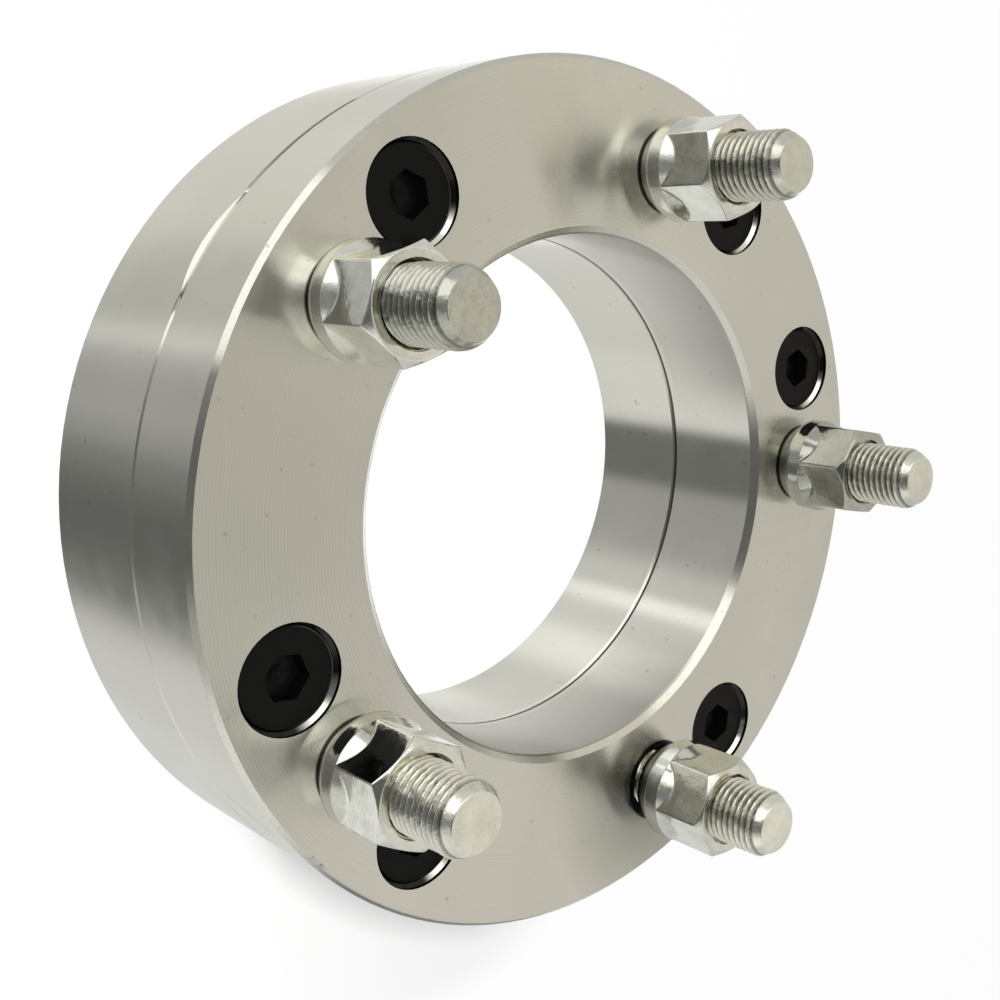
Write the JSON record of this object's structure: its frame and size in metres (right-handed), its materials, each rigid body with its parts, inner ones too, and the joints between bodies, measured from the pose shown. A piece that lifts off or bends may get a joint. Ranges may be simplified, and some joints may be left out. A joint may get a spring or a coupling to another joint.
{
  "type": "wheel spacer",
  "caption": "Thick round two-part wheel spacer with a large centre bore, pressed wheel studs carrying conical-seat nuts, and countersunk screws.",
  "frame": {"origin": "centre of the hub face, on the spacer's axis", "axes": "+Z along the axis from the hub face towards the studs' ends; +X from the axis to wheel stud 1"},
  "size_m": [0.175, 0.175, 0.0844],
  "materials": {
    "hub_plate_aluminium": "fine turned",
    "wheel_plate_aluminium": "fine turned",
    "stud_steel": "dull zinc plating",
    "nut_zinc": "bright zinc plating",
    "screw_black": "black oxide"
  },
  "bodies": {
    "root": {"hub_plate": "hub_plate_aluminium", "wheel_plate": "wheel_plate_aluminium", "wheel_stud_1": "stud_steel", "wheel_stud_2": "stud_steel", "wheel_stud_3": "stud_steel", "wheel_stud_4": "stud_steel", "wheel_stud_5": "stud_steel", "lug_nut_1": "nut_zinc", "lug_nut_2": "nut_zinc", "lug_nut_3": "nut_zinc", "lug_nut_4": "nut_zinc", "lug_nut_5": "nut_zinc", "plate_screw_1": "screw_black", "plate_screw_2": "screw_black", "plate_screw_3": "screw_black", "plate_screw_4": "screw_black", "plate_screw_5": "screw_black", "plate_screw_6": "screw_black"}
  },
  "joints": []
}
